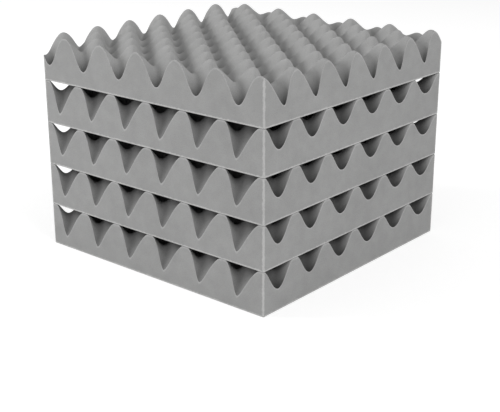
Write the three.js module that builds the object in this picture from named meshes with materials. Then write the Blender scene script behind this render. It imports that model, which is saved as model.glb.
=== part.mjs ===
// A stack of five square acoustic foam panels. Each is cut from a convoluted sheet: one face is
// flat, and the other is a lattice of nubs and valleys in staggered rows, as in an egg crate.
// Millimetres, +Z up. The origin is the middle of the bottom panel's flat back.
//
// Axes of one panel: X runs along the sheet, the way it went through the cutter, Y runs across it
// and Z runs from the flat back to the nub tips. The top panel lies a quarter turn round.

import * as THREE from 'three';
import { mergeVertices } from 'three/addons/utils/BufferGeometryUtils.js';

// Driving dimensions

// Side of one square panel.
const panelSide = 305;

// From the flat back to the nub tips, on a panel with nothing on it.
const panelThickness = 49;

// From the flat back to the valley floors.
const backThickness = 9.8;

// One wave of the nub pattern along the sheet, and one across it, on the squashed panels and on
// the free one. Foam stretches a little as it is cut, so they differ.
const pressedPitchAlong = 50;
const pressedPitchAcross = 51;
const freePitchAlong = 48.5;
const freePitchAcross = 53;

// How far a panel's tips are squashed flat by the panels on top of it.
const tipSettle = 2.4;

// Left between the squashed tips and the flat back that rests on them.
const seatGap = 0.3;

// How far along the sheet a tip leans out past its own foot, squashed and free.
const pressedLean = 8;
const freeLean = 8.6;

// Facets: none beside a cut edge is narrower than the first of these, and one that misses the
// curved surface by more than the second gets a point in its middle.
const leastFacet = 2.4;
const facetMiss = 3;

// Points closer than this in height are level.
const levelWithin = 0.001;

// How round the valley floors are. Near 0 a valley runs down to a point.
const floorRoundShare = 0.05;

// Where the cuts fall in the pattern, in shares of a wave: how far the first row of tips lies
// inside the edge that the nubs lean towards, and inside the edge on the panel's -Y side.
const pressedCutShares = { along: 0.17, across: -0.05 };
const freeCutShares = { along: 0.04, across: -0.33 };

// Grey foam, matt all over.
const foamColour = 0x9d9d9c;
const foamRoughness = 0.95;

// From the bottom of the stack to its top.
const panelNames = ['bottom_panel', 'second_panel', 'middle_panel', 'fourth_panel', 'top_panel'];

// Sizes that follow from these

const fullTurn = 2 * Math.PI;
const halfSide = panelSide / 2;
const nubHeight = panelThickness - backThickness;
const middleHeight = backThickness + nubHeight / 2;
const pressedThickness = panelThickness - tipSettle;
const stackStep = pressedThickness + seatGap;

const pressedKind = {
  top: pressedThickness,
  lean: pressedLean,
  pitchAlong: pressedPitchAlong,
  pitchAcross: pressedPitchAcross,
  cut: pressedCutShares,
};
const freeKind = {
  top: panelThickness,
  lean: freeLean,
  pitchAlong: freePitchAlong,
  pitchAcross: freePitchAcross,
  cut: freeCutShares,
};

// The nubbed surface

// The pattern is two waves multiplied, from -1 on a valley floor to 1 on a tip. A nub's side
// follows the root of that, so its crown is round and the valleys are narrow. The root runs
// between these two.
const floorRoot = Math.sqrt(floorRoundShare);
const tipRoot = Math.sqrt(2 + floorRoundShare);

// How high a place in the pattern stands, in shares of a nub.
function riseShare(pattern) {
  return (Math.sqrt(1 + pattern + floorRoundShare) - floorRoot) / (tipRoot - floorRoot);
}

// From the middle of a tip or valley to its shoulder, in waves. It is where a squashed tip's
// flat ends.
function shoulderReach() {
  const flatShare = (pressedThickness - backThickness) / nubHeight;
  const root = floorRoot + flatShare * (tipRoot - floorRoot);
  return Math.acos(root * root - 1 - floorRoundShare) / fullTurn;
}

// Height over the flat back of nubs that stand upright. Tips stand where both waves peak or
// both dip, so each row of tips is half a wave out of step with the next.
function uprightHeight(kind, x, y) {
  const along = Math.cos(fullTurn * ((halfSide - x) / kind.pitchAlong - kind.cut.along));
  const across = Math.cos(fullTurn * ((halfSide + y) / kind.pitchAcross - kind.cut.across));
  return Math.min(backThickness + nubHeight * riseShare(along * across), kind.top);
}

// How far the lean carries a point at this height, towards +X.
function leanAt(kind, height) {
  return kind.lean * ((height - middleHeight) / nubHeight);
}

// Height over the flat back of nubs that lean, found by halving the span that holds it.
function leaningHeight(kind, x, y) {
  const halvings = 40;
  let low = backThickness;
  let high = kind.top;
  for (let step = 0; step < halvings; step += 1) {
    const height = (low + high) / 2;
    if (uprightHeight(kind, x - leanAt(kind, height), y) > height) {
      low = height;
    } else {
      high = height;
    }
  }
  return (low + high) / 2;
}

// Distances from an edge of the lines that the surface is drawn on: the edge itself, the middle
// and both shoulders of each tip and valley, and the far edge. The ones that fall closer than
// margin to an edge are left out.
function lineDistances(pitch, firstTipShare, margin) {
  const distances = [0];
  const halfWaves = Math.ceil((2 * panelSide) / pitch) + 1;
  for (let halfWave = -1; halfWave <= halfWaves; halfWave += 1) {
    for (const shoulder of [-shoulderReach(), 0, shoulderReach()]) {
      const distance = pitch * (firstTipShare + halfWave / 2 + shoulder);
      if (distance > margin && distance < panelSide - margin) {
        distances.push(distance);
      }
    }
  }
  return [...distances, panelSide];
}

// A net of points over the nubbed face: net[column][row], from -X to +X and from -Y to +Y. Points
// inside the cut edges are carried along with their leaning nub, and points on an edge stay there.
function surfaceNet(kind) {
  const margin = Math.abs(kind.lean) / 2 + leastFacet;
  const fromLeaningEdge = lineDistances(kind.pitchAlong, kind.cut.along, margin);
  const xs = fromLeaningEdge.map((distance) => halfSide - distance).reverse();
  const ys = lineDistances(kind.pitchAcross, kind.cut.across, leastFacet)
    .map((distance) => distance - halfSide);
  return xs.map((x) => ys.map((y) => {
    if (Math.abs(x) === halfSide) {
      return new THREE.Vector3(x, y, leaningHeight(kind, x, y));
    }
    const height = uprightHeight(kind, x, y);
    return new THREE.Vector3(x + leanAt(kind, height), y, height);
  }));
}

// The four points next to one of the net's own, in turn anticlockwise from its left, or nothing
// on an edge.
function neighbours(net, column, row) {
  if (column < 1 || row < 1 || column > net.length - 2 || row > net[0].length - 2) {
    return [];
  }
  const [left, right] = [net[column - 1][row], net[column + 1][row]];
  return [left, net[column][row - 1], right, net[column][row + 1]];
}

// Whether a point is the middle of a squashed tip, level right across to its shoulders.
function isFlatTip(kind, net, column, row) {
  const around = neighbours(net, column, row);
  return around.length > 0 && around.every((point) => kind.top - point.z < levelWithin);
}

// Triangles of one mesh of the net, from its corners in anticlockwise order. The mesh is split
// along the diagonal that lies nearer the curved surface, or from a point in its middle.
function meshTriangles(kind, corners) {
  const [a, b, c, d] = corners;
  const middle = new THREE.Vector3();
  corners.forEach((corner) => middle.addScaledVector(corner, 1 / corners.length));
  middle.z = leaningHeight(kind, middle.x, middle.y);
  const missOnAc = Math.abs((a.z + c.z) / 2 - middle.z);
  const missOnBd = Math.abs((b.z + d.z) / 2 - middle.z);
  if (Math.min(missOnAc, missOnBd) > facetMiss) {
    return [[a, b, middle], [b, c, middle], [c, d, middle], [d, a, middle]];
  }
  return missOnAc < missOnBd ? [[a, b, c], [a, c, d]] : [[a, b, d], [b, c, d]];
}

// The whole nubbed face. A squashed tip's flat is one diamond, so each mesh that touches its
// middle keeps only the triangle outside the diamond.
function nubbedFace(kind, net) {
  const triangles = [];
  for (let column = 0; column < net.length - 1; column += 1) {
    for (let row = 0; row < net[0].length - 1; row += 1) {
      const places = [[column, row], [column + 1, row], [column + 1, row + 1], [column, row + 1]];
      const kept = places.filter(([i, j]) => !isFlatTip(kind, net, i, j));
      const corners = kept.map(([i, j]) => net[i][j]);
      triangles.push(...(kept.length < places.length ? [corners] : meshTriangles(kind, corners)));
      if (isFlatTip(kind, net, column, row)) {
        const [left, front, right, back] = neighbours(net, column, row);
        triangles.push([left, front, right], [left, right, back]);
      }
    }
  }
  return triangles;
}

// Cut sides and flat back

function onBack(point) {
  return new THREE.Vector3(point.x, point.y, 0);
}

// One cut side, under an edge of the nubbed face that runs left to right as seen from outside.
function cutSide(edge) {
  const first = edge[0];
  const outline = [onBack(first), onBack(edge[edge.length - 1]), ...[...edge].reverse()];
  const flat = outline.map((point) => {
    return new THREE.Vector2(Math.hypot(point.x - first.x, point.y - first.y), point.z);
  });
  return THREE.ShapeUtils.triangulateShape(flat, []).map((triangle) => {
    const facesOut = THREE.ShapeUtils.area(triangle.map((index) => flat[index])) > 0;
    const order = facesOut ? triangle : [...triangle].reverse();
    return order.map((index) => outline[index]);
  });
}

// One panel, its flat back on Z = 0.
function panelGeometry(kind) {
  const net = surfaceNet(kind);
  const rows = net[0].map((_, row) => net.map((column) => column[row]));
  const front = rows[0];
  const right = net[net.length - 1];
  const back = [...rows[rows.length - 1]].reverse();
  const left = [...net[0]].reverse();
  const [frontLeft, frontRight, backRight, backLeft] = [front[0], right[0], back[0], left[0]]
    .map(onBack);
  const triangles = [
    ...nubbedFace(kind, net),
    ...[front, right, back, left].flatMap(cutSide),
    [frontLeft, backLeft, backRight],
    [frontLeft, backRight, frontRight],
  ];
  const geometry = mergeVertices(new THREE.BufferGeometry().setFromPoints(triangles.flat()));
  geometry.computeVertexNormals();
  return geometry;
}

// Stack

function panel(name, kind) {
  const material = new THREE.MeshStandardMaterial({
    color: foamColour,
    roughness: foamRoughness,
    metalness: 0,
  });
  const mesh = new THREE.Mesh(panelGeometry(kind), material);
  mesh.name = name;
  return mesh;
}

const group = new THREE.Group();
panelNames.forEach((name, level) => {
  const isTop = level === panelNames.length - 1;
  const mesh = panel(name, isTop ? freeKind : pressedKind);
  mesh.position.z = level * stackStep;
  mesh.rotation.z = isTop ? -Math.PI / 2 : 0;
  group.add(mesh);
});

export default group;
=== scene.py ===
from math import pi, radians

import bmesh
import bpy
from bpy.props import (
    FloatProperty,
    FloatVectorProperty,
    IntProperty,
    PointerProperty,
)
from bpy.types import Operator, Panel, PropertyGroup
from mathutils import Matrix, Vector


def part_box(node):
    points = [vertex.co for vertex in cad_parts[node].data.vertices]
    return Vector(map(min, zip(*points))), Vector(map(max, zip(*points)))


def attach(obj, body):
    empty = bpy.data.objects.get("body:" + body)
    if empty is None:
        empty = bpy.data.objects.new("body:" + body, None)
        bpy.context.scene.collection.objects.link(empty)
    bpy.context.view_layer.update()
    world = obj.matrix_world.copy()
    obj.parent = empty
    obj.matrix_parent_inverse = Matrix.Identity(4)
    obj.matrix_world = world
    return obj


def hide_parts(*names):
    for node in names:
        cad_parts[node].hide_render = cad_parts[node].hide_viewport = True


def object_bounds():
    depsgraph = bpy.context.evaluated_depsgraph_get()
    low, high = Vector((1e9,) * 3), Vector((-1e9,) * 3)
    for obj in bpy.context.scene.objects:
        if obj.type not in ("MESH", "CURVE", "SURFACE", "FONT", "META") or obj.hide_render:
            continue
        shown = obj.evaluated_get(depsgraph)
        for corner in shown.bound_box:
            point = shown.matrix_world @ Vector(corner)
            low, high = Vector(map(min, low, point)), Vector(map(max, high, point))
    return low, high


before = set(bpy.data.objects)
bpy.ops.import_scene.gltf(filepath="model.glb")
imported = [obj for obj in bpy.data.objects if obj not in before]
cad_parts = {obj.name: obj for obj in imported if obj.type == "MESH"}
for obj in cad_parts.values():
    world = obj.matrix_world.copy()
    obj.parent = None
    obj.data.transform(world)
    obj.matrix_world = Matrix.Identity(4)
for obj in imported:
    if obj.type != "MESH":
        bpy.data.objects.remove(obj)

bl_info = {
    "name": "Acoustic foam panel stack",
    "version": (1, 0, 0),
    "blender": (4, 5, 0),
    "location": "3D View > Sidebar > Foam",
    "description": "Cuts egg-crate acoustic foam panels and stacks them on a pale floor",
    "category": "Object",
}

CAD_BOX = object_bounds()

# Bodies by the panels that ride on them, from the floor up. The last panel has nothing on it.
PANEL_BODIES = {
    "bottom_panel": "bottom",
    "second_panel": "second",
    "middle_panel": "middle",
    "fourth_panel": "fourth",
    "top_panel": "top",
}
PANELS = list(PANEL_BODIES)
TOP_PANEL = PANELS[-1]

# Names that one step gives and another looks up.
PANEL_TREE = "Egg-crate panel"
FOAM = "Grey acoustic foam"

MM = 0.001
WHITE = (1.0, 1.0, 1.0, 1.0)


def box_size(node):
    """Width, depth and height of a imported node."""
    low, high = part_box(node)
    return high - low


# Sizes and colours that a user would change


class FoamSheetSettings(PropertyGroup):
    """The sheet that every panel is cut from."""

    side: FloatProperty(
        name="Side",
        description="Side of one square panel",
        default=box_size(TOP_PANEL).x,
        unit="LENGTH",
    )
    thickness: FloatProperty(
        name="Thickness",
        description="From the flat back to the tips of free nubs",
        default=box_size(TOP_PANEL).z,
        unit="LENGTH",
    )
    squashed_thickness: FloatProperty(
        name="Squashed thickness",
        description="From the flat back to the tips under another panel",
        default=box_size(PANELS[0]).z,
        unit="LENGTH",
    )
    back_thickness: FloatProperty(
        name="Back thickness",
        description="From the flat back to the valley floors",
        default=9.8 * MM,
        unit="LENGTH",
    )
    floor_round: FloatProperty(
        name="Floor round",
        description="How round the valley floors are, near 0 for valleys that run to a point",
        default=0.05,
        subtype="FACTOR",
    )
    wander: FloatProperty(
        name="Wander",
        description="How far the cutter strays from an even lattice",
        default=1.1 * MM,
        unit="LENGTH",
    )
    ripple: FloatProperty(
        name="Ripple",
        description="Height of the fine unevenness that the cutter leaves",
        default=0.35 * MM,
        unit="LENGTH",
    )
    edge_round: FloatProperty(
        name="Edge round",
        description="How far the cut edges are rounded over",
        default=0.35 * MM,
        unit="LENGTH",
    )
    divisions: IntProperty(
        name="Divisions",
        description="Faces along one side of the nubbed surface",
        default=244,
    )
    seed: IntProperty(
        name="Seed",
        description="Another number strays another way",
        default=7,
    )


class SquashedCutSettings(PropertyGroup):
    """How the panels under another were cut from the sheet and lie in the stack."""

    pitch_along: FloatProperty(
        name="Wave along",
        description="One wave of squashed nubs the way the sheet went through the cutter",
        default=50 * MM,
        unit="LENGTH",
    )
    pitch_across: FloatProperty(
        name="Wave across",
        description="One wave of squashed nubs across the sheet",
        default=51 * MM,
        unit="LENGTH",
    )
    lean: FloatProperty(
        name="Lean",
        description="How far a squashed tip leans out past the foot of its nub",
        default=8 * MM,
        unit="LENGTH",
    )
    inner_lean: FloatVectorProperty(
        name="Inner lean",
        description="Lean of the nubs well inside the cut sides, along and across",
        default=(8 * MM, 0.0),
        size=2,
        unit="LENGTH",
    )
    ridge: FloatProperty(
        name="Ridge",
        description="How far the saddles rise from nub to nub one way and sink the other way",
        default=0.1,
        min=-1.0,
        max=1.0,
    )
    skew: FloatProperty(
        name="Skew",
        description="How far the rows run off square, for each unit across",
        default=0.0131,
    )
    along: FloatProperty(
        name="Cut along",
        description="First row of tips inside the edge that the nubs lean to, in waves",
        default=0.11,
    )
    across: FloatProperty(
        name="Cut across",
        description="First row of tips inside the edge beside it, in waves",
        default=-0.05,
    )
    turn: FloatProperty(
        name="Turn",
        description="How far a squashed panel is turned round",
        default=0.0,
        subtype="ANGLE",
        unit="ROTATION",
    )


class TopCutSettings(PropertyGroup):
    """How the panel on top was cut from the sheet and lies in the stack."""

    pitch_along: FloatProperty(
        name="Wave along",
        description="One wave of free nubs the way the sheet went through the cutter",
        default=48.5 * MM,
        unit="LENGTH",
    )
    pitch_across: FloatProperty(
        name="Wave across",
        description="One wave of free nubs across the sheet",
        default=53 * MM,
        unit="LENGTH",
    )
    lean: FloatProperty(
        name="Lean",
        description="How far a free tip leans out past the foot of its nub, at a cut side",
        default=8.6 * MM,
        unit="LENGTH",
    )
    inner_lean: FloatVectorProperty(
        name="Inner lean",
        description="Lean of the nubs well inside the cut sides, along and across",
        default=(-8.6 * MM, 9 * MM),
        size=2,
        unit="LENGTH",
    )
    ridge: FloatProperty(
        name="Ridge",
        description="How far the saddles rise from nub to nub one way and sink the other way",
        default=-0.22,
        min=-1.0,
        max=1.0,
    )
    skew: FloatProperty(
        name="Skew",
        description="How far the rows run off square, for each unit across",
        default=0.0,
    )
    along: FloatProperty(
        name="Cut along",
        description="First row of tips inside the edge that the nubs lean to, in waves",
        default=0.04,
    )
    across: FloatProperty(
        name="Cut across",
        description="First row of tips inside the edge beside it, in waves",
        default=-0.33,
    )
    turn: FloatProperty(
        name="Turn",
        description="How far the top panel is turned round",
        default=-pi / 2,
        subtype="ANGLE",
        unit="ROTATION",
    )


class FoamLookSettings(PropertyGroup):
    """Colours and grain of the foam, with its painted shade and painted edge highlight."""

    colour: FloatVectorProperty(
        name="Foam colour",
        description="Colour of the cut foam",
        default=(0.345, 0.345, 0.343),
        size=3,
        min=0.0,
        max=1.0,
        subtype="COLOR",
    )
    # Painted highlight: colour of the pale line painted along the cut edges, where the edges
    # catch the light.
    edge_highlight_colour: FloatVectorProperty(
        name="Edge colour",
        description="Colour of the thin foam along the cut edges",
        default=(0.56, 0.56, 0.555),
        size=3,
        min=0.0,
        max=1.0,
        subtype="COLOR",
    )
    cell: FloatProperty(
        name="Cell",
        description="Size of one open cell of the foam",
        default=0.9 * MM,
        unit="LENGTH",
    )
    # Painted shade: how much darker the foam is painted on the valley floors, where shade falls
    # between the nubs.
    painted_valley_shade: FloatProperty(
        name="Valley shade",
        description="How much of its colour the foam keeps on the valley floors",
        default=0.5,
        subtype="FACTOR",
    )
    # Painted shade: how much darker the foam is painted deep under another panel, where that
    # panel's shadow falls.
    painted_buried_shade: FloatProperty(
        name="Buried shade",
        description="How much of its colour the foam keeps deep under another panel",
        default=0.5,
        subtype="FACTOR",
    )
    # Painted highlight: width of the pale line painted along the cut edges.
    edge_width: FloatProperty(
        name="Edge width",
        description="Width of the pale line along the cut edges",
        default=2.2 * MM,
        unit="LENGTH",
    )


class FoamStageSettings(PropertyGroup):
    """Floor, light and camera."""

    camera_place: FloatVectorProperty(
        name="Camera place",
        description="Where the camera stands",
        default=(0.7578, -0.8875, 0.4550),
        size=3,
        subtype="TRANSLATION",
        unit="LENGTH",
    )
    camera_turn: FloatProperty(
        name="Camera turn",
        description="How far the camera is turned from looking along +Y",
        default=radians(40.24),
        subtype="ANGLE",
        unit="ROTATION",
    )
    camera_dip: FloatProperty(
        name="Camera dip",
        description="How far the camera looks down",
        default=radians(19.7),
        subtype="ANGLE",
        unit="ROTATION",
    )
    lens: FloatProperty(
        name="Lens",
        description="Focal length in millimetres",
        default=78.6,
    )
    floor_colour: FloatVectorProperty(
        name="Floor colour",
        description="Colour of the floor",
        default=(0.8, 0.8, 0.8),
        size=3,
        min=0.0,
        max=1.0,
        subtype="COLOR",
    )
    floor_lift: FloatProperty(
        name="Floor lift",
        description="Light that the floor adds where the camera sees it",
        default=0.42,
    )
    sky: FloatProperty(
        name="Sky",
        description="Strength of the even light from all round",
        default=0.45,
    )


# Node building


def add_node(tree, kind, **settings):
    """A new node of a tree, with its own settings."""
    node = tree.nodes.new(kind)
    for name, value in settings.items():
        setattr(node, name, value)
    return node


def feed(tree, socket, value):
    """Links an output to an input, or sets the input to a plain value."""
    if isinstance(value, bpy.types.NodeSocket):
        tree.links.new(value, socket)
    else:
        socket.default_value = value


def calculate(tree, operation, *values):
    """A Math node's result."""
    node = add_node(tree, "ShaderNodeMath", operation=operation)
    for socket, value in zip(node.inputs, values):
        feed(tree, socket, value)
    return node.outputs[0]


def split(tree, vector):
    """X, Y and Z of a vector."""
    node = add_node(tree, "ShaderNodeSeparateXYZ")
    feed(tree, node.inputs[0], vector)
    return node.outputs


def joined(tree, x, y, z):
    """A vector from its X, Y and Z."""
    node = add_node(tree, "ShaderNodeCombineXYZ")
    for socket, value in zip(node.inputs, (x, y, z)):
        feed(tree, socket, value)
    return node.outputs[0]


def spread(tree, value, low, high, new_low, new_high):
    """A value carried from one range to another and held inside it."""
    node = add_node(tree, "ShaderNodeMapRange", interpolation_type="SMOOTHSTEP")
    for name, given in (
        ("Value", value),
        ("From Min", low),
        ("From Max", high),
        ("To Min", new_low),
        ("To Max", new_high),
    ):
        feed(tree, node.inputs[name], given)
    return node.outputs[0]


def noise(tree, place, size, detail, seed=0.0):
    """Noise from 0 to 1 whose lumps are about size across."""
    node = add_node(tree, "ShaderNodeTexNoise", noise_dimensions="4D")
    feed(tree, node.inputs["Vector"], place)
    feed(tree, node.inputs["W"], seed)
    feed(tree, node.inputs["Scale"], 1 / size)
    feed(tree, node.inputs["Detail"], detail)
    return node.outputs[0]


def swing(tree, place, size, detail, seed):
    """Noise from -0.5 to 0.5 whose lumps are about size across."""
    return calculate(tree, "SUBTRACT", noise(tree, place, size, detail, seed), 0.5)


def seen_straight(tree):
    """1 where a surface or the sky is seen itself, and 0 where it only lights others."""
    paths = add_node(tree, "ShaderNodeLightPath").outputs
    seen = calculate(tree, "MAXIMUM", paths["Is Camera Ray"], paths["Is Glossy Ray"])
    return calculate(tree, "MAXIMUM", seen, paths["Is Transmission Ray"])


# Panel tree

# Name and kind of each input, and what its number measures.
PANEL_INPUTS = (
    ("Side", "NodeSocketFloat", "DISTANCE"),
    ("Thickness", "NodeSocketFloat", "DISTANCE"),
    ("Back Thickness", "NodeSocketFloat", "DISTANCE"),
    ("Settled Thickness", "NodeSocketFloat", "DISTANCE"),
    ("Wave Along", "NodeSocketFloat", "DISTANCE"),
    ("Wave Across", "NodeSocketFloat", "DISTANCE"),
    ("Floor Round", "NodeSocketFloat", "FACTOR"),
    ("Ridge", "NodeSocketFloat", "NONE"),
    ("Skew", "NodeSocketFloat", "NONE"),
    ("Lean", "NodeSocketFloat", "DISTANCE"),
    ("Inner Lean Along", "NodeSocketFloat", "DISTANCE"),
    ("Inner Lean Across", "NodeSocketFloat", "DISTANCE"),
    ("Cut Along", "NodeSocketFloat", "NONE"),
    ("Cut Across", "NodeSocketFloat", "NONE"),
    ("Wander", "NodeSocketFloat", "DISTANCE"),
    ("Ripple", "NodeSocketFloat", "DISTANCE"),
    ("Divisions", "NodeSocketInt", "NONE"),
    ("Seed", "NodeSocketFloat", "NONE"),
    ("Turn", "NodeSocketFloat", "ANGLE"),
    ("Level", "NodeSocketFloat", "DISTANCE"),
    ("Buried", "NodeSocketFloat", "FACTOR"),
    ("Foam", "NodeSocketMaterial", "NONE"),
)

# Steps that settle a leaning nub's height, and how far inside a cut side its lean turns into the
# inner lean, from first to last.
LEAN_STEPS = 40
LEAN_TURNS = (4 * MM, 28 * MM)

# How large and how finely broken up the cutter's straying and its fine unevenness are.
WANDER_SIZE, WANDER_DETAIL = 45 * MM, 1.0
RIPPLE_SIZE, RIPPLE_DETAIL = 7 * MM, 2.0

# Added to the seed of the straying along and across, so that the two differ.
WANDER_SEEDS = (0.0, 31.7)

# How softly a nub's side turns into the flat of its squashed tip.
SQUASH_BLEND = 0.8 * MM

# An edge with fewer faces beside it than this is on the outline of the nubbed face.
OUTLINE_FACES = 1.5

# Points of the sides and the back that lie closer than this are one.
WELD_WITHIN = 0.01 * MM


def upright_height(tree, given, ridge, x, y):
    """Height over the back of nubs that stand upright, at a place on the sheet."""
    half_side = calculate(tree, "MULTIPLY", given["Side"], 0.5)
    from_side = calculate(tree, "ADD", half_side, y)
    from_leaning_edge = calculate(tree, "SUBTRACT", half_side, x)
    skewed = calculate(tree, "MULTIPLY", from_side, given["Skew"])
    angles = []
    for distance, pitch, cut in (
        (calculate(tree, "SUBTRACT", from_leaning_edge, skewed), "Wave Along", "Cut Along"),
        (from_side, "Wave Across", "Cut Across"),
    ):
        turns = calculate(
            tree, "SUBTRACT", calculate(tree, "DIVIDE", distance, given[pitch]), given[cut]
        )
        angles.append(calculate(tree, "MULTIPLY", turns, 2 * pi))
    nubs, saddles = (
        calculate(tree, "MULTIPLY", *(calculate(tree, wave, angle) for angle in angles))
        for wave in ("COSINE", "SINE")
    )
    pattern = calculate(tree, "MULTIPLY_ADD", saddles, ridge, nubs)
    above_floor = calculate(tree, "ADD", pattern, 1.0)
    floor_root, root, tip_root = (
        calculate(tree, "SQRT", calculate(tree, "ADD", given["Floor Round"], place))
        for place in (0.0, above_floor, 2.0)
    )
    rise = calculate(
        tree,
        "DIVIDE",
        calculate(tree, "SUBTRACT", root, floor_root),
        calculate(tree, "SUBTRACT", tip_root, floor_root),
    )
    nub = calculate(tree, "SUBTRACT", given["Thickness"], given["Back Thickness"])
    return calculate(tree, "MULTIPLY_ADD", nub, rise, given["Back Thickness"])


def stored(tree, geometry, name, value, selection=True):
    """Geometry with a value kept on its points, or on the selected ones."""
    node = add_node(tree, "GeometryNodeStoreNamedAttribute", data_type="FLOAT", domain="POINT")
    node.inputs["Name"].default_value = name
    feed(tree, node.inputs["Geometry"], geometry)
    feed(tree, node.inputs["Selection"], selection)
    feed(tree, node.inputs["Value"], value)
    return node.outputs["Geometry"]


def kept(tree, name):
    """A value that was kept on the points."""
    node = add_node(tree, "GeometryNodeInputNamedAttribute", data_type="FLOAT")
    node.inputs["Name"].default_value = name
    return node.outputs["Attribute"]


def lean_zone(tree, given, geometry, x, y):
    """Settles the kept height of each point, so that a nub leans evenly from foot to tip.

    Tips stay where the lean at the cut sides puts them, and the valleys move under them.
    """
    start = add_node(tree, "GeometryNodeRepeatInput")
    end = add_node(tree, "GeometryNodeRepeatOutput")
    start.pair_with_output(end)
    start.inputs["Iterations"].default_value = LEAN_STEPS
    feed(tree, start.inputs["Geometry"], geometry)
    nub = calculate(tree, "SUBTRACT", given["Thickness"], given["Back Thickness"])
    below_tip = calculate(tree, "SUBTRACT", kept(tree, "height"), given["Thickness"])
    rise = calculate(tree, "DIVIDE", below_tip, nub)
    edge = calculate(tree, "MULTIPLY", given["Side"], 0.5)
    outermost = calculate(
        tree, "MAXIMUM", calculate(tree, "ABSOLUTE", x), calculate(tree, "ABSOLUTE", y)
    )
    inside = calculate(tree, "SUBTRACT", edge, outermost)
    along = spread(tree, inside, *LEAN_TURNS, given["Lean"], given["Inner Lean Along"])
    across = spread(tree, inside, *LEAN_TURNS, 0.0, given["Inner Lean Across"])
    tip = calculate(tree, "MULTIPLY", given["Lean"], 0.5)
    upright = upright_height(
        tree,
        given,
        spread(tree, inside, *LEAN_TURNS, 0.0, given["Ridge"]),
        calculate(tree, "SUBTRACT", x, calculate(tree, "MULTIPLY_ADD", along, rise, tip)),
        calculate(tree, "SUBTRACT", y, calculate(tree, "MULTIPLY", across, rise)),
    )
    leaning = stored(tree, start.outputs["Geometry"], "height", upright)
    feed(tree, end.inputs["Geometry"], leaning)
    return end.outputs["Geometry"]


def moved(tree, geometry, place, selection=True):
    """Geometry with its points, or the selected ones, put in other places."""
    node = add_node(tree, "GeometryNodeSetPosition")
    feed(tree, node.inputs["Geometry"], geometry)
    feed(tree, node.inputs["Selection"], selection)
    feed(tree, node.inputs["Position"], place)
    return node.outputs["Geometry"]


def nubbed_face(tree, given, place):
    """The nubbed face by itself."""
    points = calculate(tree, "ADD", given["Divisions"], 1)
    grid = add_node(tree, "GeometryNodeMeshGrid")
    for name in ("Size X", "Size Y"):
        feed(tree, grid.inputs[name], given["Side"])
    for name in ("Vertices X", "Vertices Y"):
        feed(tree, grid.inputs[name], points)

    # Where each point lies on the sheet, once the cutter has strayed a little.
    x, y, _ = split(tree, place)
    strayed = []
    for offset, axis in zip(WANDER_SEEDS, (x, y)):
        seed = calculate(tree, "ADD", given["Seed"], offset)
        sway = swing(tree, place, WANDER_SIZE, WANDER_DETAIL, seed)
        strayed.append(calculate(tree, "MULTIPLY_ADD", sway, given["Wander"], axis))

    geometry = stored(tree, grid.outputs["Mesh"], "height", given["Thickness"])
    geometry = lean_zone(tree, given, geometry, *strayed)
    grain = swing(tree, place, RIPPLE_SIZE, RIPPLE_DETAIL, given["Seed"])
    uneven = calculate(tree, "MULTIPLY_ADD", grain, given["Ripple"], kept(tree, "height"))
    squashed = calculate(tree, "SMOOTH_MIN", uneven, given["Settled Thickness"], SQUASH_BLEND)
    return moved(tree, geometry, joined(tree, x, y, squashed))


def with_cut_sides(tree, face, place):
    """Draws the face's outline down to the back, where it keeps how far it fell.

    Returns the geometry and the selection of its foot.
    """
    x, y, z = split(tree, place)
    faces_beside = add_node(tree, "GeometryNodeInputMeshEdgeNeighbors").outputs["Face Count"]
    sides = add_node(tree, "GeometryNodeExtrudeMesh", mode="EDGES")
    feed(tree, sides.inputs["Mesh"], stored(tree, face, "below_rim", 0.0))
    outline = calculate(tree, "LESS_THAN", faces_beside, OUTLINE_FACES)
    feed(tree, sides.inputs["Selection"], outline)
    sides.inputs["Offset Scale"].default_value = 0.0
    foot = sides.outputs["Top"]
    fallen = stored(tree, sides.outputs["Mesh"], "below_rim", z, foot)
    return moved(tree, fallen, joined(tree, x, y, 0.0), foot), foot


def with_flat_back(tree, sides, foot, place):
    """Fills in the foot of the sides. The back's points keep what the foot's own ones keep."""
    outline = add_node(tree, "GeometryNodeMeshToCurve")
    feed(tree, outline.inputs["Mesh"], sides)
    feed(tree, outline.inputs["Selection"], foot)
    back = add_node(tree, "GeometryNodeFillCurve", mode="NGONS")
    feed(tree, back.inputs["Curve"], outline.outputs["Curve"])
    nearest = add_node(tree, "GeometryNodeSampleNearest", domain="POINT")
    feed(tree, nearest.inputs["Geometry"], sides)
    fallen = add_node(tree, "GeometryNodeSampleIndex", data_type="FLOAT", domain="POINT")
    feed(tree, fallen.inputs["Geometry"], sides)
    feed(tree, fallen.inputs["Value"], kept(tree, "below_rim"))
    feed(tree, fallen.inputs["Index"], nearest.outputs["Index"])
    whole = add_node(tree, "GeometryNodeJoinGeometry")
    matched = stored(tree, back.outputs["Mesh"], "below_rim", fallen.outputs["Value"])
    feed(tree, whole.inputs["Geometry"], matched)
    feed(tree, whole.inputs["Geometry"], sides)
    height = split(tree, place)["Z"]
    measured = stored(tree, whole.outputs["Geometry"], "above_back", height)
    welded = add_node(tree, "GeometryNodeMergeByDistance")
    feed(tree, welded.inputs["Geometry"], measured)
    welded.inputs["Distance"].default_value = WELD_WITHIN
    return welded.outputs["Geometry"]


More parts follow.
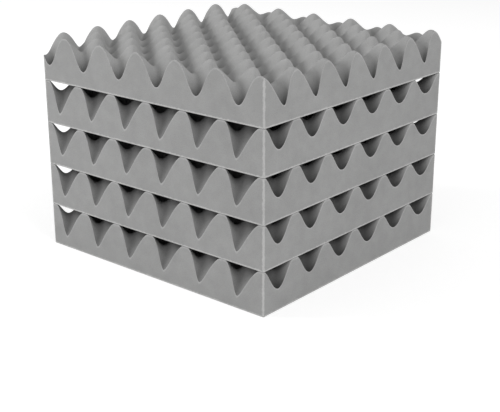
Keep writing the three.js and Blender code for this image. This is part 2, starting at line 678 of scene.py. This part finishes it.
def panel_tree():
    """Geometry Nodes that cut one panel: nubbed face, cut sides and flat back."""
    tree = bpy.data.node_groups.new(PANEL_TREE, "GeometryNodeTree")
    for name, kind, subtype in PANEL_INPUTS:
        socket = tree.interface.new_socket(name=name, in_out="INPUT", socket_type=kind)
        if kind == "NodeSocketFloat" and subtype != "NONE":
            socket.subtype = subtype
    tree.interface.new_socket(name="Panel", in_out="OUTPUT", socket_type="NodeSocketGeometry")
    given = {socket.name: socket for socket in add_node(tree, "NodeGroupInput").outputs}
    output = add_node(tree, "NodeGroupOutput")

    place = add_node(tree, "GeometryNodeInputPosition").outputs["Position"]
    face = nubbed_face(tree, given, place)
    sides, foot = with_cut_sides(tree, face, place)
    panel = with_flat_back(tree, sides, foot, place)

    placed = add_node(tree, "GeometryNodeTransform")
    # The buried mark tells the foam where to paint the shade that falls under another panel.
    feed(tree, placed.inputs["Geometry"], stored(tree, panel, "buried", given["Buried"]))
    feed(tree, placed.inputs["Translation"], joined(tree, 0.0, 0.0, given["Level"]))
    feed(tree, placed.inputs["Rotation"], joined(tree, 0.0, 0.0, given["Turn"]))
    real = add_node(tree, "GeometryNodeRealizeInstances")
    feed(tree, real.inputs["Geometry"], placed.outputs["Geometry"])
    painted = add_node(tree, "GeometryNodeSetMaterial")
    feed(tree, painted.inputs["Geometry"], real.outputs["Geometry"])
    feed(tree, painted.inputs["Material"], given["Foam"])
    feed(tree, output.inputs["Panel"], painted.outputs["Geometry"])
    return tree


# Foam

# Places of the factor and the two colours among a Mix node's inputs, and of the colour that comes
# out. Its inputs for numbers and vectors have the same names.
COLOUR_MIX_INPUTS = (0, 6, 7)
COLOUR_MIX_OUTPUT = 2

FOAM_ROUGHNESS = 0.96
FOAM_SPECULAR = 0.12

# A point this close to the plane of a cut is on the cut side, rounded edges and all.
ON_SIDE = 0.2 * MM

# The painted highlight along the cut edges: how large and how finely broken up its fraying is,
# the share of its width that is fully pale, and its strength along the back, up the corners and
# along the rim.
FRAY_SIZE, FRAY_DETAIL = 3 * MM, 3.0
SOLID_SHARE = 0.35
BACK_HIGHLIGHT, CORNER_HIGHLIGHT, RIM_HIGHLIGHT = 0.85, 0.8, 0.35

# Painted shade: foam lower than this share of the thickness is painted darker, and foam under
# another panel is painted darkest from this far inside a cut side.
VALLEY_TOP_SHARE = 0.8
BURIED_REACH = 12 * MM

# A point inside the cut sides is on the nubbed face above this share of the back's thickness, and
# on the flat back under it.
NUBS_SHARE = 0.5

# Lumps and clouds of the mottling: size, how finely broken up, and shade from darkest to palest.
MOTTLING = ((14 * MM, 3.0, 0.95, 1.05), (60 * MM, 2.0, 0.96, 1.04))
NOISE_DARKEST, NOISE_PALEST = 0.2, 0.8

# How far a cell's mouth reaches, in cells, and its painted shade in the middle and round the rim.
MOUTH_REACH = 0.55
MOUTH_SHADES = (0.86, 1.05)

# Fine roughness between the cells, and the bump that it and the cells make.
ROUGH_SIZE, ROUGH_DETAIL = 0.7 * MM, 3.0
ROUGH_SHARE = 0.8
BUMP_STRENGTH = 0.35
BUMP_DISTANCE = 0.25 * MM


def measured_on_panel(tree, name):
    """A value that the panel tree kept on the points."""
    return add_node(tree, "ShaderNodeAttribute", attribute_name=name).outputs["Fac"]


def painted_edge_highlight(tree, look, place, on_side, to_corner):
    """Painted highlight: how pale the foam is painted within a line's width of an edge of a cut
    side.
    """
    frayed = noise(tree, place, FRAY_SIZE, FRAY_DETAIL)
    line = calculate(tree, "MULTIPLY", frayed, 2 * look.edge_width)
    solid = calculate(tree, "MULTIPLY", line, SOLID_SHARE)
    highlight_share = 0.0
    for distance, strength in (
        (measured_on_panel(tree, "above_back"), BACK_HIGHLIGHT),
        (to_corner, CORNER_HIGHLIGHT),
        (measured_on_panel(tree, "below_rim"), RIM_HIGHLIGHT),
    ):
        pale = spread(tree, distance, solid, line, strength, 0.0)
        highlight_share = calculate(tree, "MAXIMUM", highlight_share, pale)
    return calculate(tree, "MULTIPLY", highlight_share, on_side)


def painted_depth_shade(tree, look, sheet, on_side, inside):
    """Painted shade: share of its colour the foam keeps, less in the valleys and less again under
    a panel.
    """
    to_back = measured_on_panel(tree, "above_back")
    valleys = (sheet.back_thickness, VALLEY_TOP_SHARE * sheet.thickness)
    valley = spread(tree, to_back, *valleys, look.painted_valley_shade, 1.0)
    under = spread(tree, inside, 0.0, BURIED_REACH, 0.0, 1 - look.painted_buried_shade)
    covered = calculate(tree, "MULTIPLY", measured_on_panel(tree, "buried"), under)
    deep = calculate(tree, "MULTIPLY", valley, calculate(tree, "SUBTRACT", 1.0, covered))
    above = calculate(tree, "GREATER_THAN", to_back, NUBS_SHARE * sheet.back_thickness)
    on_nubs = calculate(tree, "MAXIMUM", calculate(tree, "SUBTRACT", above, on_side), 0.0)
    return spread(tree, on_nubs, 0.0, 1.0, 1.0, deep)


def mottling_and_painted_pore_shade(tree, place, to_mouth):
    """Mottling from lump to lump, and painted shade in the small mouths of the cells."""
    shade = spread(tree, to_mouth, 0.0, MOUTH_REACH, *MOUTH_SHADES)
    for size, detail, darkest, palest in MOTTLING:
        lumps = noise(tree, place, size, detail)
        mottle = spread(tree, lumps, NOISE_DARKEST, NOISE_PALEST, darkest, palest)
        shade = calculate(tree, "MULTIPLY", mottle, shade)
    return shade


def foam_bump(tree, place, to_mouth):
    """The bumpy feel of open cells, as a surface direction."""
    rough = noise(tree, place, ROUGH_SIZE, ROUGH_DETAIL)
    bump = add_node(tree, "ShaderNodeBump")
    bump.inputs["Strength"].default_value = BUMP_STRENGTH
    bump.inputs["Distance"].default_value = BUMP_DISTANCE
    relief = calculate(tree, "MULTIPLY_ADD", rough, ROUGH_SHARE, to_mouth)
    feed(tree, bump.inputs["Height"], relief)
    return bump.outputs["Normal"]


def foam_material(look, sheet):
    """Matt open-cell foam: fine cells, mottling, painted shade in valleys and under a panel,
    painted highlight on cut edges.
    """
    material = bpy.data.materials.new(FOAM)
    material.use_nodes = True
    tree = material.node_tree
    shader = tree.nodes["Principled BSDF"]
    shader.inputs["Roughness"].default_value = FOAM_ROUGHNESS
    shader.inputs["Specular IOR Level"].default_value = FOAM_SPECULAR
    place = add_node(tree, "ShaderNodeTexCoord").outputs["Object"]
    across = [calculate(tree, "ABSOLUTE", axis) for axis in split(tree, place)[:2]]
    inside, to_corner = (
        calculate(tree, "SUBTRACT", sheet.side / 2, calculate(tree, end, *across))
        for end in ("MAXIMUM", "MINIMUM")
    )
    on_side = calculate(tree, "LESS_THAN", inside, ON_SIDE)
    cells = add_node(tree, "ShaderNodeTexVoronoi", feature="F1")
    feed(tree, cells.inputs["Vector"], place)
    cells.inputs["Scale"].default_value = 1 / look.cell
    to_mouth = cells.outputs["Distance"]

    mixed = add_node(tree, "ShaderNodeMix", data_type="RGBA")
    factor, colour, edge_highlight_colour = (mixed.inputs[index] for index in COLOUR_MIX_INPUTS)
    # Painted highlight along the cut edges.
    feed(tree, factor, painted_edge_highlight(tree, look, place, on_side, to_corner))
    colour.default_value = (*look.colour, 1.0)
    edge_highlight_colour.default_value = (*look.edge_highlight_colour, 1.0)
    # Painted shade in the valleys and under another panel.
    depth = painted_depth_shade(tree, look, sheet, on_side, inside)
    shade = calculate(tree, "MULTIPLY", mottling_and_painted_pore_shade(tree, place, to_mouth), depth)
    toned = add_node(tree, "ShaderNodeVectorMath", operation="SCALE")
    feed(tree, toned.inputs["Vector"], mixed.outputs[COLOUR_MIX_OUTPUT])
    feed(tree, toned.inputs["Scale"], shade)
    feed(tree, shader.inputs["Base Color"], toned.outputs["Vector"])
    feed(tree, shader.inputs["Normal"], foam_bump(tree, place, to_mouth))
    return material


# Finished panels

# A point this close to the plane of a side lies in it.
IN_PLANE = 0.02 * MM

# A free panel's nubs would be squashed from this far above their tips, so none is.
CLEAR_OF_TIPS = 1.0 * MM

# Faces across a rounded cut edge, and its shape: 0.5 is a quarter of a circle.
EDGE_FACES = 2
EDGE_PROFILE = 0.5


def face_side(face, sheet, level):
    """Which of a panel's sides a face lies in: a cut side, the back or the nubbed face."""
    for axis in (0, 1):
        places = [vertex.co[axis] for vertex in face.verts]
        for edge in (-sheet.side / 2, sheet.side / 2):
            if all(abs(place - edge) < IN_PLANE for place in places):
                return (axis, edge > 0)
    if all(abs(vertex.co.z - level) < IN_PLANE for vertex in face.verts):
        return "back"
    return "nubs"


def finish_edges(mesh, sheet, level):
    """Rounds the cut edges over, smooths the nubbed face and leaves the cut sides flat."""
    work = bmesh.new()
    work.from_mesh(mesh)
    bmesh.ops.recalc_face_normals(work, faces=work.faces)
    sides = {face: face_side(face, sheet, level) for face in work.faces}
    sharp = [
        edge
        for edge in work.edges
        if len(edge.link_faces) == 2 and len({sides[face] for face in edge.link_faces}) == 2
    ]
    # Every face has the one material, so that the rounded edges take it too.
    for face, side in sides.items():
        face.smooth = side == "nubs"
        face.material_index = 0
    rounded = bmesh.ops.bevel(
        work,
        geom=sharp,
        offset=sheet.edge_round,
        segments=EDGE_FACES,
        profile=EDGE_PROFILE,
        affect="EDGES",
        clamp_overlap=True,
    )
    for face in rounded["faces"]:
        face.smooth = True
    above_back = work.verts.layers.float["above_back"]
    for vertex in work.verts:
        vertex[above_back] = vertex.co.z - level
    work.to_mesh(mesh)
    work.free()


def cut_panel(tree, material, node, cut, sheet):
    """Cuts one panel and puts it in the place of its CAD node."""
    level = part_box(node)[0].z
    free = node == TOP_PANEL
    tip_limit = sheet.thickness + CLEAR_OF_TIPS if free else sheet.squashed_thickness
    panel = bpy.data.objects.new(node + "_foam", bpy.data.meshes.new(node + "_foam"))
    bpy.context.scene.collection.objects.link(panel)
    modifier = panel.modifiers.new(PANEL_TREE, "NODES")
    modifier.node_group = tree
    values = {
        "Side": sheet.side,
        "Thickness": sheet.thickness,
        "Back Thickness": sheet.back_thickness,
        "Settled Thickness": tip_limit,
        "Wave Along": cut.pitch_along,
        "Wave Across": cut.pitch_across,
        "Floor Round": sheet.floor_round,
        "Ridge": cut.ridge,
        "Skew": cut.skew,
        "Lean": cut.lean,
        "Inner Lean Along": cut.inner_lean[0],
        "Inner Lean Across": cut.inner_lean[1],
        "Cut Along": cut.along,
        "Cut Across": cut.across,
        "Wander": sheet.wander,
        "Ripple": sheet.ripple,
        "Divisions": sheet.divisions,
        "Seed": float(sheet.seed + PANELS.index(node)),
        "Turn": cut.turn,
        "Level": level,
        "Buried": 0.0 if free else 1.0,
        "Foam": material,
    }
    for item in tree.interface.items_tree:
        if item.in_out == "INPUT":
            modifier[item.identifier] = values[item.name]
    graph = bpy.context.evaluated_depsgraph_get()
    made = bpy.data.meshes.new_from_object(
        panel.evaluated_get(graph), preserve_all_data_layers=True, depsgraph=graph
    )
    panel.modifiers.clear()
    panel.data = made
    made.materials.clear()
    made.materials.append(material)
    if not made.polygons:
        raise RuntimeError("the panel tree made no faces for " + node)
    finish_edges(made, sheet, level)
    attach(panel, PANEL_BODIES[node])
    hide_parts(node)
    return panel


class FOAM_OT_squashed_panels(Operator):
    """Cut the panels that lie under another, with squashed tips"""

    bl_idname = "foam.squashed_panels"
    bl_label = "Squashed Panels"

    def execute(self, context):
        scene = context.scene
        tree = panel_tree()
        material = foam_material(scene.foam_look, scene.foam_sheet)
        for node in PANELS[:-1]:
            cut_panel(tree, material, node, scene.foam_squashed_cut, scene.foam_sheet)
        return {"FINISHED"}


class FOAM_OT_top_panel(Operator):
    """Cut the free panel on top, which lies a quarter turn round"""

    bl_idname = "foam.top_panel"
    bl_label = "Top Panel"

    def execute(self, context):
        scene = context.scene
        material = bpy.data.materials.get(FOAM)
        if material is None:
            raise RuntimeError("cut the squashed panels first")
        tree = bpy.data.node_groups[PANEL_TREE]
        cut_panel(tree, material, TOP_PANEL, scene.foam_top_cut, scene.foam_sheet)
        return {"FINISHED"}


# Stage

# How far the floor reaches each way, and how far it lies under the bottom panel.
FLOOR_REACH = 12.0
FLOOR_DROP = 0.1 * MM

# Name, place, size and power of each lamp.
LAMPS = (
    ("Key", (-1.9, -1.4, 1.25), 0.9, 36.0),
    ("Fill", (2.2, -0.2, 2.4), 1.4, 42.0),
)


def floor_material(stage):
    """White floor that keeps the shadow and is lifted to white only where it is seen itself."""
    material = bpy.data.materials.new("White floor")
    material.use_nodes = True
    tree = material.node_tree
    shader = tree.nodes["Principled BSDF"]
    shader.inputs["Base Color"].default_value = (*stage.floor_colour, 1.0)
    shader.inputs["Roughness"].default_value = 1.0
    shader.inputs["Specular IOR Level"].default_value = 0.0
    shader.inputs["Emission Color"].default_value = WHITE
    lift = calculate(tree, "MULTIPLY", seen_straight(tree), stage.floor_lift)
    feed(tree, shader.inputs["Emission Strength"], lift)
    return material


def make_world(stage):
    """Even light from all round, white where it is seen."""
    world = bpy.data.worlds.new("Studio")
    world.use_nodes = True
    tree = world.node_tree
    background = tree.nodes["Background"]
    background.inputs["Color"].default_value = WHITE
    strength = spread(tree, seen_straight(tree), 0.0, 1.0, stage.sky, 1.0)
    feed(tree, background.inputs["Strength"], strength)
    return world


def add_lamp(name, place, aim, size, power):
    """A square soft lamp that faces a point."""
    lamp = bpy.data.lights.new(name, "AREA")
    lamp.size = size
    lamp.energy = power
    stand = bpy.data.objects.new(name, lamp)
    stand.location = place
    stand.rotation_euler = (aim - Vector(place)).to_track_quat("-Z", "Y").to_euler()
    bpy.context.scene.collection.objects.link(stand)


class FOAM_OT_stage(Operator):
    """Set up the camera, the soft lamps and the white floor"""

    bl_idname = "foam.stage"
    bl_label = "Stage"

    def execute(self, context):
        scene = context.scene
        stage = scene.foam_stage
        camera = bpy.data.objects.new("Camera", bpy.data.cameras.new("Camera"))
        camera.location = stage.camera_place
        camera.rotation_euler = (pi / 2 - stage.camera_dip, 0.0, stage.camera_turn)
        camera.data.lens = stage.lens
        scene.collection.objects.link(camera)
        scene.camera = camera

        corners = [
            (x * FLOOR_REACH, y * FLOOR_REACH, -FLOOR_DROP)
            for x, y in ((-1, -1), (1, -1), (1, 1), (-1, 1))
        ]
        ground = bpy.data.meshes.new("Floor")
        ground.from_pydata(corners, [], [(0, 1, 2, 3)])
        ground.materials.append(floor_material(stage))
        floor = bpy.data.objects.new("Floor", ground)
        scene.collection.objects.link(floor)

        scene.world = make_world(stage)
        middle = (CAD_BOX[0] + CAD_BOX[1]) / 2
        for name, place, size, power in LAMPS:
            add_lamp(name, place, middle, size, power)
        scene.view_settings.view_transform = "Standard"
        return {"FINISHED"}


class FOAM_PT_stack(Panel):
    """Sizes, colours and steps of the foam panel stack"""

    bl_label = "Foam Panel Stack"
    bl_space_type = "VIEW_3D"
    bl_region_type = "UI"
    bl_category = "Foam"

    def draw(self, context):
        layout = self.layout
        scene = context.scene
        for settings in GROUPS:
            box = layout.box()
            group = getattr(scene, settings)
            for name in group.bl_rna.properties.keys():
                if name not in ("rna_type", "name"):
                    box.prop(group, name)
        for operator in STEPS:
            layout.operator(operator.bl_idname)


GROUPS = {
    "foam_sheet": FoamSheetSettings,
    "foam_squashed_cut": SquashedCutSettings,
    "foam_top_cut": TopCutSettings,
    "foam_look": FoamLookSettings,
    "foam_stage": FoamStageSettings,
}
STEPS = (FOAM_OT_stage, FOAM_OT_squashed_panels, FOAM_OT_top_panel)
CLASSES = (*GROUPS.values(), *STEPS, FOAM_PT_stack)


def register():
    """Adds the settings, the steps and their sidebar panel to Blender."""
    for added in CLASSES:
        bpy.utils.register_class(added)
    for name, settings in GROUPS.items():
        setattr(bpy.types.Scene, name, PointerProperty(type=settings))


def unregister():
    """Takes out what register adds."""
    for name in GROUPS:
        delattr(bpy.types.Scene, name)
    for added in reversed(CLASSES):
        bpy.utils.unregister_class(added)


def main():
    """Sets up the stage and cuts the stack."""
    register()
    bpy.ops.foam.stage()
    bpy.ops.foam.squashed_panels()
    bpy.ops.foam.top_panel()


if __name__ == "__main__":
    main()
